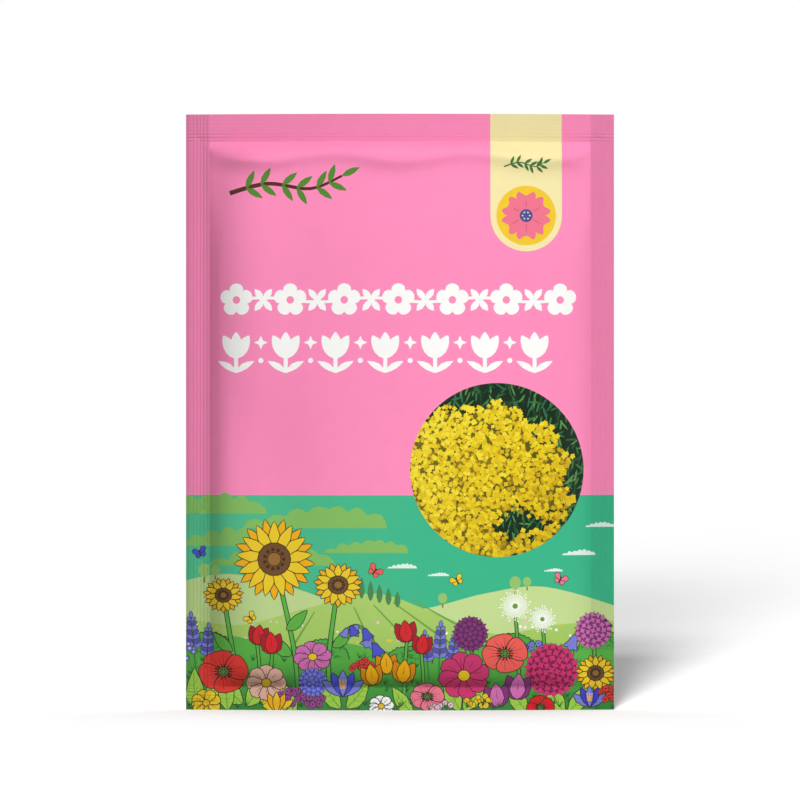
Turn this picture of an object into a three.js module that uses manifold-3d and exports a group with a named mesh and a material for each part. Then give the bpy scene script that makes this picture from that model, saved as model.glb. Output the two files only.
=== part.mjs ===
// A filled seed packet: two laminate films heat-sealed together on all four sides, puffed out
// between the seals, with small flat seeds lying loose in the bottom of the pouch.
// The packet stands on its bottom edge. It is bowed a little from side to side, with the middle
// towards the viewer, so that the bottom edge is an arc that it stands on without help.
// Millimetres, +Z up. The front faces -Y and +X is on the right as the front is seen.
// The origin is on the floor, in the middle of the packet's box.
import * as THREE from "three";
import Module from "manifold-3d";

const wasm = await Module();
wasm.setup();

// The packet as a whole
const packetWidth = 100.7; // straight across, from side edge to side edge
const packetHeight = 140;
const bowDepth = 9; // how far the middle stands in front of the side edges
const filmThickness = 0.15;

// Heat seals, from the packet's edge to the crease where the pouch begins
const sideSeal = 5.6;
const topSeal = 6.6;
const bottomSeal = 5.4;

// How far each film is puffed out from the plane of the seals, in the middle of the pouch
const frontPuff = 6.4;
const backPuff = 8;

// A film rises steeply from its crease at first, and then more and more gently
const steepShare = 0.6;
const steepReach = 4;
const gentleReach = 15;

// A soft roll under the top seal, which wanders up and down as it runs across
const rollHeight = 0.7;
const rollBelowCrease = 3.2;
const rollWander = 0.9;
const rollPitch = 31.7;
const rollPhase = -31.7;
const rollWidth = 2.2;

// Two soft folds in each film: place across, height of the middle, half length, half width, rise
const frontFolds = [
  { x: -36, z: 60, reach: 16, width: 3.2, rise: 0.5 },
  { x: 24, z: 98, reach: 14, width: 7, rise: -0.5 },
];
const backFolds = [
  { x: -17, z: 84, reach: 30, width: 4.5, rise: -0.9 },
  { x: 21, z: 52, reach: 26, width: 4.5, rise: -0.9 },
];

const foldFadeIn = 3; // folds reach their full height where the pouch is a third full

// Seeds: flat round lenses, and the heap that they lie in
const seedRadius = 1.25;
const seedHalfThickness = 0.42;
const seedSides = 7;
const seedSpacing = 1.9;
const heapMiddle = 7; // across the packet
const heapHalfLength = 17;
const heapFloor = bottomSeal + 1.7;
const heapLayers = 4;
const layerHeight = 0.85;
const layerSlope = 3.2; // how much shorter each layer is than the one below, at each end
const seedClearance = 0.3; // from the films
const seedJitter = 0.3;
const mostTilt = 1.1; // radians
const mostAttempts = 8; // tilts tried before a seed is left out
const randomStart = 20417;

// Grid of each film: widths of the cells next to a crease, and about how wide the rest are
const creaseSteps = [0.9, 1.9, 3.2, 4.9, 7.2, 10.4]; // from the crease into the pouch
const middlePitch = 6.3;
const slopeStep = 0.5; // to each side, when a face's slope is measured

const halfWidth = packetWidth / 2;
const pouchHalfWidth = halfWidth - sideSeal;
const pouchTop = packetHeight - topSeal;

const printedFilm = new THREE.MeshStandardMaterial({ color: 0xf58ab5, roughness: 0.32, metalness: 0 });
const plainFilm = new THREE.MeshStandardMaterial({ color: 0xee83ae, roughness: 0.34, metalness: 0 });
const seedCoat = new THREE.MeshStandardMaterial({ color: 0x6b4226, roughness: 0.7, metalness: 0 });

// The bowed sheet that both films meet in along the seals
function sealPlane(x) {
  return -bowDepth * Math.cos((Math.PI * x) / packetWidth);
}

// From 0 at a crease to 1 far inside the pouch
function rise(distance) {
  if (distance <= 0) return 0;
  const steep = steepShare * Math.exp(-distance / steepReach);
  const gentle = (1 - steepShare) * Math.exp(-distance / gentleReach);
  return 1 - steep - gentle;
}

function fullness(x, z) {
  const across = rise(pouchHalfWidth - x) * rise(pouchHalfWidth + x);
  return across * rise(pouchTop - z) * rise(z - bottomSeal);
}

function bump(distance, width) {
  return Math.exp(-((distance / width) ** 2));
}

function topRoll(x, z) {
  const wander = rollWander * Math.cos((2 * Math.PI * (x - rollPhase)) / rollPitch);
  const below = pouchTop - z;
  return rollHeight * bump(below - rollBelowCrease - wander, rollWidth);
}

function foldsAt(folds, x, z) {
  let sum = 0;
  for (const fold of folds) {
    sum += fold.rise * bump(x - fold.x, fold.width) * bump(z - fold.z, fold.reach);
  }
  return sum;
}

// How far a film stands out from the seal plane. Every fold dies away at the creases.
function puffOf(film, x, z) {
  const full = fullness(x, z);
  if (full <= 0) return 0;
  const relief = topRoll(x, z) + foldsAt(film.folds, x, z);
  return full * film.puff + Math.min(1, foldFadeIn * full) * relief;
}

function innerFace(film, x, z) {
  return sealPlane(x) + film.facing * puffOf(film, x, z);
}

// The outer face lies one film thickness away, measured square to the film
function outerFace(film, x, z) {
  const left = Math.max(-halfWidth, x - slopeStep);
  const right = Math.min(halfWidth, x + slopeStep);
  const low = Math.max(0, z - slopeStep);
  const high = Math.min(packetHeight, z + slopeStep);
  const slopeX = (innerFace(film, right, z) - innerFace(film, left, z)) / (right - left);
  const slopeZ = (innerFace(film, x, high) - innerFace(film, x, low)) / (high - low);
  return innerFace(film, x, z) + film.facing * filmThickness * Math.hypot(1, slopeX, slopeZ);
}

const front = { facing: -1, puff: frontPuff, folds: frontFolds };
const back = { facing: 1, puff: backPuff, folds: backFolds };

// Places of the grid lines from one seal's outer edge to the other's: close together at the
// creases, where the film bends, and wide apart in the middle
function gridLines(start, firstCrease, lastCrease, end) {
  const lines = [start, (start + firstCrease) / 2, firstCrease];
  for (const step of creaseSteps) lines.push(firstCrease + step);
  const from = firstCrease + creaseSteps.at(-1);
  const to = lastCrease - creaseSteps.at(-1);
  const spans = Math.round((to - from) / middlePitch);
  for (let i = 1; i < spans; i++) lines.push(from + ((to - from) * i) / spans);
  for (const step of creaseSteps.toReversed()) lines.push(lastCrease - step);
  lines.push(lastCrease, (lastCrease + end) / 2, end);
  return lines;
}

const acrossLines = gridLines(-halfWidth, -pouchHalfWidth, pouchHalfWidth, halfWidth);
const upLines = gridLines(0, bottomSeal, pouchTop, packetHeight);

// One film as a closed thin shell: an inner face, an outer face and the cut edge all round
function filmGeometry(film) {
  const columns = acrossLines.length;
  const rows = upLines.length;
  const sheet = columns * rows;
  const positions = [];
  for (const face of [innerFace, outerFace]) {
    for (const z of upLines) {
      for (const x of acrossLines) positions.push(x, face(film, x, z), z);
    }
  }
  const indices = [];
  function triangle(a, b, c) {
    if (film.facing > 0) indices.push(a, b, c);
    else indices.push(a, c, b);
  }
  function quad(a, b, c, d, otherWay) {
    if (otherWay) {
      triangle(a, b, d);
      triangle(b, c, d);
    } else {
      triangle(a, b, c);
      triangle(a, c, d);
    }
  }
  for (let row = 0; row < rows - 1; row++) {
    for (let column = 0; column < columns - 1; column++) {
      const a = row * columns + column;
      const b = a + 1;
      const c = b + columns;
      const d = a + columns;
      const otherWay = (row + column) % 2 === 1;
      quad(a, b, c, d, otherWay);
      quad(sheet + b, sheet + a, sheet + d, sheet + c, otherWay);
    }
  }
  function edge(a, b) {
    quad(b, a, sheet + a, sheet + b, false);
  }
  const last = rows - 1;
  for (let column = 0; column < columns - 1; column++) {
    edge(column, column + 1);
    edge(last * columns + column + 1, last * columns + column);
  }
  for (let row = 0; row < last; row++) {
    edge((row + 1) * columns, row * columns);
    edge(row * columns + columns - 1, (row + 1) * columns + columns - 1);
  }
  const geometry = new THREE.BufferGeometry();
  geometry.setAttribute("position", new THREE.Float32BufferAttribute(positions, 3));
  geometry.setIndex(indices);
  return geometry;
}

// Even random numbers from 0 to 1, the same ones each time
function makeRandom(start) {
  const multiplier = 16807;
  const modulus = 2147483647;
  let state = start;
  return () => {
    state = (state * multiplier) % modulus;
    return state / modulus;
  };
}

// A flat seed, as a lens of two shallow cones on one rim
function seedCorners() {
  const underside = new THREE.Vector3(0, 0, -seedHalfThickness);
  const topside = new THREE.Vector3(0, 0, seedHalfThickness);
  const corners = [underside, topside];
  for (let i = 0; i < seedSides; i++) {
    const angle = (2 * Math.PI * i) / seedSides;
    corners.push(new THREE.Vector3(seedRadius * Math.cos(angle), seedRadius * Math.sin(angle), 0));
  }
  return corners;
}

function seedFaces() {
  const faces = [];
  for (let i = 0; i < seedSides; i++) {
    const here = 2 + i;
    const next = 2 + ((i + 1) % seedSides);
    faces.push(0, next, here, 1, here, next);
  }
  return faces;
}

function insidePouch(corner) {
  const { x, y, z } = corner;
  const deepest = innerFace(front, x, z) + seedClearance;
  const farthest = innerFace(back, x, z) - seedClearance;
  return z > bottomSeal && y > deepest && y < farthest;
}

function solidFrom(corners, faces) {
  const vertProperties = new Float32Array(corners.flatMap((corner) => corner.toArray()));
  const mesh = new wasm.Mesh({ numProp: 3, vertProperties, triVerts: new Uint32Array(faces) });
  return new wasm.Manifold(mesh);
}

// The corners of a seed laid at a place with a random tilt, or null if it doesn't fit there
function laidSeed(x, y, z, random) {
  for (let attempt = 0; attempt < mostAttempts; attempt++) {
    const tilt = new THREE.Euler(
      mostTilt * (2 * random() - 1),
      mostTilt * (2 * random() - 1),
      2 * Math.PI * random()
    );
    const place = new THREE.Vector3(x, y, z);
    const corners = seedCorners().map((corner) => corner.applyEuler(tilt).add(place));
    if (corners.every(insidePouch)) return corners;
  }
  return null;
}

// Layers of seeds, each shorter than the one below. Neighbours overlap, so they fuse in one heap.
function seedHeap() {
  const random = makeRandom(randomStart);
  const jitter = () => seedJitter * (random() - 0.5);
  const faces = seedFaces();
  const seeds = [];
  for (let layer = 0; layer < heapLayers; layer++) {
    const z = heapFloor + layer * layerHeight;
    const reach = heapHalfLength - layer * layerSlope;
    const places = Math.floor((2 * reach) / seedSpacing);
    for (let i = 0; i <= places; i++) {
      const x = heapMiddle - reach + i * seedSpacing + jitter();
      const nearest = innerFace(front, x, z) + seedRadius;
      const farthest = innerFace(back, x, z) - seedRadius;
      const abreast = Math.max(1, Math.floor((farthest - nearest) / seedSpacing) + 1);
      for (let j = 0; j < abreast; j++) {
        const y = (nearest + farthest) / 2 + (j - (abreast - 1) / 2) * seedSpacing;
        const corners = laidSeed(x, y + jitter(), z + jitter(), random);
        if (corners) seeds.push(solidFrom(corners, faces));
      }
    }
  }
  const parts = wasm.Manifold.union(seeds).decompose();
  parts.sort((one, other) => other.volume() - one.volume());
  return parts[0];
}

function geometryFrom(solid) {
  const mesh = solid.getMesh();
  const geometry = new THREE.BufferGeometry();
  geometry.setAttribute("position", new THREE.Float32BufferAttribute(mesh.vertProperties, 3));
  geometry.setIndex([...mesh.triVerts]);
  return geometry;
}

function namedMesh(name, geometry, material) {
  geometry.computeVertexNormals();
  const mesh = new THREE.Mesh(geometry, material);
  mesh.name = name;
  return mesh;
}

const frontFilm = namedMesh("front_film", filmGeometry(front), printedFilm);
const backFilm = namedMesh("back_film", filmGeometry(back), plainFilm);
const seeds = namedMesh("seeds", geometryFrom(seedHeap()), seedCoat);

// Put the middle of the packet's depth over the origin
const packet = new THREE.Group();
packet.add(frontFilm, backFilm, seeds);
const box = new THREE.Box3().setFromObject(packet);
packet.position.y = -(box.min.y + box.max.y) / 2;
packet.updateMatrixWorld(true);

export default packet;
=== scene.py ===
"""A heat-sealed laminate seed packet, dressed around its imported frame.

Each film is a closed thin shell. Its outer face is a flat sheet that is cut along the edges of
everything printed on it, and then lifted on to the puffed and crimped shape of the packet, so that
the print is as sharp as the mesh. Places on a film are millimetres across (x, as the front is seen)
and up (z), and become metres when a mesh is made.
"""
import math
import random
from collections import namedtuple

import bpy
import numpy as np
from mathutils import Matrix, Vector
from mathutils.bvhtree import BVHTree
from mathutils.geometry import delaunay_2d_cdt


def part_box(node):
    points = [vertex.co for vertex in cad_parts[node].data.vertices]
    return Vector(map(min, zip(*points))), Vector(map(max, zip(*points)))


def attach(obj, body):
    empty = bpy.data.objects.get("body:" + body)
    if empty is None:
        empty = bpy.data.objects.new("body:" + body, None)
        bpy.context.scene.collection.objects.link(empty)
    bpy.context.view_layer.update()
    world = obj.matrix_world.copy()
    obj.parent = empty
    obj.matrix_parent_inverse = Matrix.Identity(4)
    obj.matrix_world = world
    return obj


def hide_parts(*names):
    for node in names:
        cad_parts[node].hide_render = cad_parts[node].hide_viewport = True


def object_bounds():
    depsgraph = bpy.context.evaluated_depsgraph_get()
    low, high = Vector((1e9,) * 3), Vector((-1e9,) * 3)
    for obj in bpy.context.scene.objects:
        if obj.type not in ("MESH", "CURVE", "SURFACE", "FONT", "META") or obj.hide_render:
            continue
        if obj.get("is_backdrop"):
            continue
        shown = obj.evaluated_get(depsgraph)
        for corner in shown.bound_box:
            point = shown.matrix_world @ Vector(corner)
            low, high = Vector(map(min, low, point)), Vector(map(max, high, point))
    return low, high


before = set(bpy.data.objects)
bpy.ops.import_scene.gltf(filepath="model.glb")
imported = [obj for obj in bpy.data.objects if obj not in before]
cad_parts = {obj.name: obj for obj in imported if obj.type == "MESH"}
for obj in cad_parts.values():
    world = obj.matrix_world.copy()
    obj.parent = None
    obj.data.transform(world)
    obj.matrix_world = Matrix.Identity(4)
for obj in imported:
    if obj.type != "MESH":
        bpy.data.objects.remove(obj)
cad_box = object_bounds()

MM = 0.001
WIDTH = (cad_box[1].x - cad_box[0].x) / MM
HEIGHT = cad_box[1].z / MM
HALF_WIDTH = WIDTH / 2
SIDE_EDGES_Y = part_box("front_film")[1].y / MM  # the side edges are the seal's rearmost lines

# The same shape as the solids, apart from what is noted
BOW_DEPTH = 9
FILM_THICKNESS = 0.15
SIDE_SEAL = 5.6
TOP_SEAL = 6.6
BOTTOM_SEAL = 5.4
STEEP_SHARE = 0.6
STEEP_REACH = 4
GENTLE_REACH = 15
ROLL_HEIGHT = 1.3  # 0.7 in the solids
ROLL_BELOW_CREASE = 2.9  # 3.2 in the solids
ROLL_WANDER = 0.9
ROLL_PITCH = 31.7
ROLL_WIDTH = 2.2
FOLD_FADE_IN = 3

# Relief that is too fine for the solids
RIB_PITCH = 0.8
RIB_HEIGHT = 0.045
RIB_HEIGHT_ALONG_ENDS = 0.5  # the ribs of the top and bottom seals, as a share of the side seals'
RIB_FADE_IN = 0.3
RIB_FADE_OUT = (0.5, 0.1)  # before the crease, where it starts and ends
CORNER_REACH = 1.3  # how far from the sides the ends' ribs stay strong, in widths of a side seal
SMOOTH_BAND = 3.1  # below the top edge, the middle of a strip that has almost no ribs
SMOOTH_BAND_WIDTH = 1.3
FLAT_MARGIN = 1.3  # uncrimped strip along the cut edges
RIPPLE_HEIGHT = 0.05
SIDES_PAINTED_SHADE = 0.24  # painted shade: how much the print is darkened on the side seals, standing in for the shade they get from the light, with a little of the fused films' own darker look
ENDS_PAINTED_SHADE = 0.13  # the same painted shade on the top and bottom seals
PAINTED_SHADE_EDGE = (-0.2, 0.1)  # how far inside a crease that painted shade starts to fade, and is gone
GROOVE_DEPTH = 0.28  # both films dip back along the creases
GROOVE_WIDTH = 1.5
SIDE_GROOVE_OUTSIDE = 1.7  # how far outside the side creases it lies
EDGE_CURL = 0.18  # the side edges curl back a little
EDGE_CURL_WIDTH = 0.5
VALLEY_DEPTH = 1.2  # below the roll at the top, steep above and gentle below
VALLEY_BELOW_CREASE = 9
VALLEY_WIDTHS = (4.4, 12)

POUCH_HALF_WIDTH = HALF_WIDTH - SIDE_SEAL
POUCH_TOP = HEIGHT - TOP_SEAL
THICKNESS_STEP = 0.5  # over which a slope is measured for the film's thickness
NORMAL_STEP = 0.04  # and for its normals

Fold = namedtuple("Fold", "x z reach width rise")
Film = namedtuple("Film", "facing puff folds")
# The solids' front film has a fold 0.5 high at (-36, 60) in place of the shoulder, dent and ridge
SHOULDER = Fold(-36, 70, 1000, 8, 1.2)  # a taut ridge inside the left crease, from top to bottom
DENT = Fold(-33, 60, 20, 10, -1.7)  # a broad soft dent, lower left, with a ridge beside it
FRONT = Film(-1, 6.4, (SHOULDER, DENT, Fold(-41, 60, 20, 3, 0.45), Fold(24, 98, 14, 7, -0.5)))
BACK = Film(1, 8, (Fold(-17, 84, 30, 4.5, -0.9), Fold(21, 52, 26, 4.5, -0.9)))


def rise(distance):
    """From 0 at a crease to 1 far inside the pouch."""
    inside = np.maximum(distance, 0)
    steep = STEEP_SHARE * np.exp(-inside / STEEP_REACH)
    return 1 - steep - (1 - STEEP_SHARE) * np.exp(-inside / GENTLE_REACH)


def bump(distance, width):
    return np.exp(-((distance / width) ** 2))


def fullness(x, z):
    across = rise(POUCH_HALF_WIDTH - x) * rise(POUCH_HALF_WIDTH + x)
    return across * rise(POUCH_TOP - z) * rise(z - BOTTOM_SEAL)


def top_roll(x, z):
    below = POUCH_TOP - z - ROLL_WANDER * np.cos(2 * math.pi * (x + ROLL_PITCH) / ROLL_PITCH)
    width = np.where(below < VALLEY_BELOW_CREASE, *VALLEY_WIDTHS)
    valley = VALLEY_DEPTH * bump(below - VALLEY_BELOW_CREASE, width)
    return ROLL_HEIGHT * bump(below - ROLL_BELOW_CREASE, ROLL_WIDTH) - valley


def ripples(x, z):
    """Faint unevenness of a film that nothing holds flat."""
    rolled = np.sin(x / 5.1 + z / 13 + 0.8) + np.sin(x / 7.7 - z / 9.3 + 2.1)
    return RIPPLE_HEIGHT * (rolled + np.sin(z / 4.3 + x / 17) * bump(z - BOTTOM_SEAL, 22))


def smoothstep(low, high, value):
    share = np.clip((value - low) / (high - low), 0, 1)
    return share * share * (3 - 2 * share)


def rib(from_edge, seal):
    """Ribs of one seal, which fade out at its flat margin and at its crease."""
    window = smoothstep(FLAT_MARGIN, FLAT_MARGIN + RIB_FADE_IN, from_edge)
    fade_from, fade_to = (seal - before for before in RIB_FADE_OUT)
    window = window * (1 - smoothstep(fade_from, fade_to, from_edge))
    return window * np.cos(2 * math.pi * from_edge / RIB_PITCH)


def crimp(x, z):
    """The pattern that the heated jaws press into both films where they are sealed."""
    from_side, from_top = HALF_WIDTH - np.abs(x), HEIGHT - z
    sides = rib(from_side, SIDE_SEAL)
    top = rib(from_top, TOP_SEAL) * (1 - bump(from_top - SMOOTH_BAND, SMOOTH_BAND_WIDTH))
    ends = rib(z, BOTTOM_SEAL) + top
    near_corner = bump(from_side, SIDE_SEAL * CORNER_REACH)
    ribs = RIB_HEIGHT * (sides + ends * (RIB_HEIGHT_ALONG_ENDS + near_corner))
    return ribs + groove(x, z) + EDGE_CURL * bump(from_side, EDGE_CURL_WIDTH)


def groove(x, z):
    """A shallow dip of both films along the creases."""
    from_side = POUCH_HALF_WIDTH - np.abs(x) + SIDE_GROOVE_OUTSIDE
    from_end = np.minimum(z - BOTTOM_SEAL, POUCH_TOP - z)
    return GROOVE_DEPTH * bump(np.minimum(from_side, from_end), GROOVE_WIDTH)


def inner_face(film, x, z):
    full = fullness(x, z)
    relief = top_roll(x, z) + ripples(x, z)
    for fold in film.folds:
        relief = relief + fold.rise * bump(x - fold.x, fold.width) * bump(z - fold.z, fold.reach)
    puff = full * film.puff + np.minimum(1, FOLD_FADE_IN * full) * relief
    plane = SIDE_EDGES_Y - BOW_DEPTH * np.cos(math.pi * x / WIDTH)
    return plane + crimp(x, z) + film.facing * puff


def slopes(face, film, x, z, step):
    """How fast a face goes back across and up the film."""
    left, right = np.maximum(x - step, -HALF_WIDTH), np.minimum(x + step, HALF_WIDTH)
    low, high = np.maximum(z - step, 0), np.minimum(z + step, HEIGHT)
    across = (face(film, right, z) - face(film, left, z)) / (right - left)
    up = (face(film, x, high) - face(film, x, low)) / (high - low)
    return across, up


def outer_face(film, x, z):
    across, up = slopes(inner_face, film, x, z, THICKNESS_STEP)
    return inner_face(film, x, z) + film.facing * FILM_THICKNESS * np.sqrt(1 + across**2 + up**2)


def outward_normals(face, film, x, z):
    across, up = slopes(face, film, x, z, NORMAL_STEP)
    normals = np.stack((-across, np.ones_like(x), -up), axis=1) * film.facing
    return normals / np.linalg.norm(normals, axis=1, keepdims=True)


# Inks, as sRGB values from 0 to 255
PINK = (255, 143, 189)
TEAL = (60, 184, 138)
CREAM = (244, 230, 170)
WHITE = (252, 251, 248)
NAVY = (78, 82, 150)
LINE = (50, 46, 38)
GOLD = (240, 176, 24)
YELLOW = (236, 202, 44)
CORAL = (236, 96, 88)
RED = (214, 38, 44)
DEEP_RED = (176, 28, 44)
SCARLET = (226, 64, 60)
WINE = (150, 24, 34)
ROSE = (238, 122, 146)
MAGENTA = (204, 58, 112)
ORCHID = (206, 112, 176)
PLUM = (132, 56, 120)
BLUE = (78, 84, 206)
PERIWINKLE = (124, 130, 214)
BLUSH = (222, 176, 156)
BARK = (112, 78, 44)
GRASS = (92, 178, 72)
DEEP_GRASS = (58, 138, 62)
LEAF = (160, 208, 78)
LEAF_SHADE = (108, 160, 56)
FIELD = (162, 200, 98)
PALE_HILL = (198, 221, 148)
PALER_HILL = (186, 212, 140)
HEDGE = (112, 166, 78)
HAZE = (132, 190, 98)
MILKY = (232, 230, 226)
FRAME_PINK = (226, 120, 160)

Fade = namedtuple("Fade", "first second start end")  # one ink at start, the other at end
Shape = namedtuple("Shape", "outline ink window")

INK_LINE = 0.2


def linear(ink):
    value = np.array(ink) / 255
    return np.where(value <= 0.04045, value / 12.92, ((value + 0.055) / 1.055) ** 2.4)


def colours(ink, x, z):
    """The linear colour of an ink at each of the given places."""
    if not isinstance(ink, Fade):
        return np.broadcast_to(linear(ink), (len(x), 3))
    (start_x, start_z), (end_x, end_z) = ink.start, ink.end
    run, climb = end_x - start_x, end_z - start_z
    share = ((x - start_x) * run + (z - start_z) * climb) / (run**2 + climb**2)
    share = np.clip(share, 0, 1)[:, None]
    return linear(ink.first) * (1 - share) + linear(ink.second) * share


def area(points):
    nexts = points[1:] + points[:1]
    return sum(x * next_z - next_x * z for (x, z), (next_x, next_z) in zip(points, nexts)) / 2


def anticlockwise(points):
    return list(points) if area(list(points)) > 0 else list(points)[::-1]


def aside(before, after, by):
    """A step to the right of the way from one place to another."""
    run, climb = after[0] - before[0], after[1] - before[1]
    length = math.hypot(run, climb) or 1
    return by * climb / length, -by * run / length


def swollen(points, by):
    """An outline moved outwards all round."""
    points = anticlockwise(points)
    made = []
    for i, (x, z) in enumerate(points):
        step_x, step_z = aside(points[i - 1], points[(i + 1) % len(points)], by)
        made.append((x + step_x, z + step_z))
    return made


def ribbon(points, width, end_width=None):
    """A line of some width, which may change towards its end."""
    end_width = width if end_width is None else end_width
    last = len(points) - 1
    left, right = [], []
    for i, (x, z) in enumerate(points):
        half = (width + (end_width - width) * i / last) / 2
        step_x, step_z = aside(points[max(i - 1, 0)], points[min(i + 1, last)], half)
        left.append((x - step_x, z - step_z))
        right.append((x + step_x, z + step_z))
    return left + right[::-1]


class Print:
    """Flat shapes on one film, each on top of those before it."""

    def __init__(self, ground):
        corners = ((-HALF_WIDTH, 0), (HALF_WIDTH, 0), (HALF_WIDTH, HEIGHT), (-HALF_WIDTH, HEIGHT))
        self.shapes = [Shape(list(corners), ground, None)]

    def fill(self, outline, ink, window=None):
        """Adds a shape, shown only inside the window if one is given, and returns its number."""
        self.shapes.append(Shape(anticlockwise(outline), ink, window))
        return len(self.shapes) - 1

    def inked(self, outline, ink, line=INK_LINE):
        """A shape with a dark line round it."""
        self.fill(swollen(outline, line), LINE)
        self.fill(outline, ink)

    def stroke(self, points, width, ink=LINE, end_width=None):
        self.fill(ribbon(points, width, end_width), ink)

    def ray(self, x, z, turn, start, end, width, ink=LINE, end_width=None, squeeze=1.0):
        """A straight line away from a place, turned from upright, between two distances from it."""
        self.stroke(at([(0, start), (0, end)], x, z, turn, 1, squeeze), width, ink, end_width)

    def stalk(self, points, width):
        points = curve(points, 3, closed=False)
        self.stroke(points, width + 2 * INK_LINE)
        self.stroke(points, width, GRASS)


def curve(points, steps=4, closed=True):
    """Points along a smooth curve through the given ones."""
    count = len(points)
    made = []
    for i in range(count if closed else count - 1):
        near = [k % count if closed else min(max(k, 0), count - 1) for k in range(i - 1, i + 3)]
        for step in range(steps):
            t = step / steps
            place = []
            for a, b, c, d in zip(*(points[k] for k in near)):
                bend = (2 * a - 5 * b + 4 * c - d) * t**2 + (3 * b - a - 3 * c + d) * t**3
                place.append(b + ((c - a) * t + bend) / 2)
            made.append(tuple(place))
    return made if closed else made + [points[-1]]


def around(x, z, angle, across, up=None):
    """The place at some angle on a circle or an upright ellipse."""
    return x + across * math.cos(angle), z + (across if up is None else up) * math.sin(angle)


def ellipse(x, z, across, up=None, count=14):
    return [around(x, z, 2 * math.pi * i / count, across, up) for i in range(count)]


def star(waist):
    """A four-pointed star of radius 1."""
    quarter = [(1, 0), (waist, waist), (0, 1), (-waist, waist)]
    return quarter + [(-x, -z) for x, z in quarter]


def mirrored(half):
    """The outline whose right half is given, from where it leaves the axis."""
    return half + [(-x, z) for x, z in reversed(half) if x]


def blade(length, width, widest=0.5, point=1.0, count=5, bend=0.0):
    """A petal or leaf from its root at the origin up along z. Its tip is bent aside."""
    skew = math.log(0.5) / math.log(widest)
    right, left = [], []
    for i in range(1, count):
        along = (1 - math.cos(math.pi * i / count)) / 2
        half = width / 2 * math.sin(math.pi * along**skew) ** point
        aside = bend * along**2
        right.append((aside + half, along * length))
        left.append((aside - half, along * length))
    return [(0, 0), *right, (bend, length), *left[::-1]]


def at(points, x, z, turn=0.0, size=1.0, squeeze=1.0):
    """A drawing made bigger, turned anticlockwise by degrees, squeezed upright and moved."""
    cos, sin = math.cos(math.radians(turn)) * size, math.sin(math.radians(turn)) * size
    return [(x + cos * px - sin * pz, z + squeeze * (sin * px + cos * pz)) for px, pz in points]


def bumpy(points, bump_width, height, rng):
    """A line with a row of round bumps on its left side."""
    made = []
    for (x, z), (next_x, next_z) in zip(points, points[1:]):
        run, climb = next_x - x, next_z - z
        length = math.hypot(run, climb)
        bumps = max(1, round(length / bump_width))
        for i in range(bumps):
            tall = height * rng.uniform(0.6, 1.2)
            for step in range(4):
                along = (i + step / 4) / bumps
                out = tall * math.sin(math.pi * step / 4) / length
                made.append((x + run * along - climb * out, z + climb * along + run * out))
    return made + [points[-1]]


# Flowers and leaves


def rosette(
    sheet, x, z, size, inks, petals, width, squeeze=1.0, turn=0.0, point=0.7, widest=0.62, count=5
):
    """Petals round a middle, seen from the front or squeezed as from one side."""
    for i in range(petals):
        petal = blade(size / 2, width, widest, point, count)
        sheet.inked(at(petal, x, z, turn + 360 * i / petals, 1, squeeze), inks[i % len(inks)])


def eye(sheet, x, z, radius, ink, dots=0, dot_ink=LINE, squeeze=1.0):
    sheet.inked(ellipse(x, z, radius, radius * squeeze), ink)
    for i in range(dots):
        dot = around(x, z, 2 * math.pi * i / dots, 0.6 * radius, 0.6 * radius * squeeze)
        sheet.fill(ellipse(*dot, 0.1 * radius + 0.08, count=5), dot_ink)


def sunflower(sheet, x, z, size, squeeze=1.0, petals=13):
    width = 1.75 * size / petals
    rosette(sheet, x, z, size, (GOLD,), petals, width, squeeze, 180 / petals, 0.9, 0.55)
    rosette(sheet, x, z, size * 0.93, (YELLOW,), petals, width, squeeze, 0, 0.9, 0.55)
    eye(sheet, x, z, size * 0.2, BARK, 11, (66, 44, 26), squeeze)
    eye(sheet, x, z, size * 0.08, (150, 106, 48), 0, LINE, squeeze)


def poppy(sheet, x, z, size, ink, squeeze=0.85):
    rosette(sheet, x, z, size, (ink,), 4, size * 0.62, squeeze, 20, 0.42, 0.66, 9)
    for i in range(20):
        reach = size * (0.3 if i % 2 else 0.42)
        sheet.ray(x, z, 18 * i, size * 0.08, reach, 0.12, LINE, 0.06, squeeze)
    for i in range(14):
        far = around(x, z, 2 * math.pi * i / 14, 0.19 * size, 0.19 * size * squeeze)
        sheet.stroke([(x, z), far], 0.12, LINE, 0.34)
    eye(sheet, x, z, size * 0.1, (96, 130, 60), 6, LINE, squeeze)


def cosmos(sheet, x, z, size, ink, squeeze, turn):
    rosette(sheet, x, z, size, (ink,), 8, size * 0.36, squeeze, turn, 0.5, 0.7)
    for i in range(8):
        sheet.ray(x, z, turn + 45 * i, size * 0.2, size * 0.38, 0.14, LINE, 0.05, squeeze)
    eye(sheet, x, z, size * 0.11, YELLOW, 6, GOLD, squeeze)


def tulip(sheet, x, z, size, ink, shade, turn):
    for lean, petal_ink in ((-26, shade), (26, shade), (0, ink)):
        petal = blade(size, size * 0.6, 0.4, 0.85)
        sheet.inked(at(petal, x, z, turn + lean), petal_ink)
    sheet.ray(x, z, turn, size * 0.35, size * 0.75, 0.14, LINE, 0.05)


def crocus(sheet, x, z, size, ink, shade):
    for lean, petal_ink in ((-52, shade), (52, shade), (-24, ink), (24, ink), (0, shade)):
        sheet.inked(at(blade(size, size * 0.36, 0.55, 1), x, z, lean), petal_ink)
    for lean in (-10, 0, 10):
        sheet.ray(x, z, lean, size * 0.3, size * 0.66, 0.3, GOLD)


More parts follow.
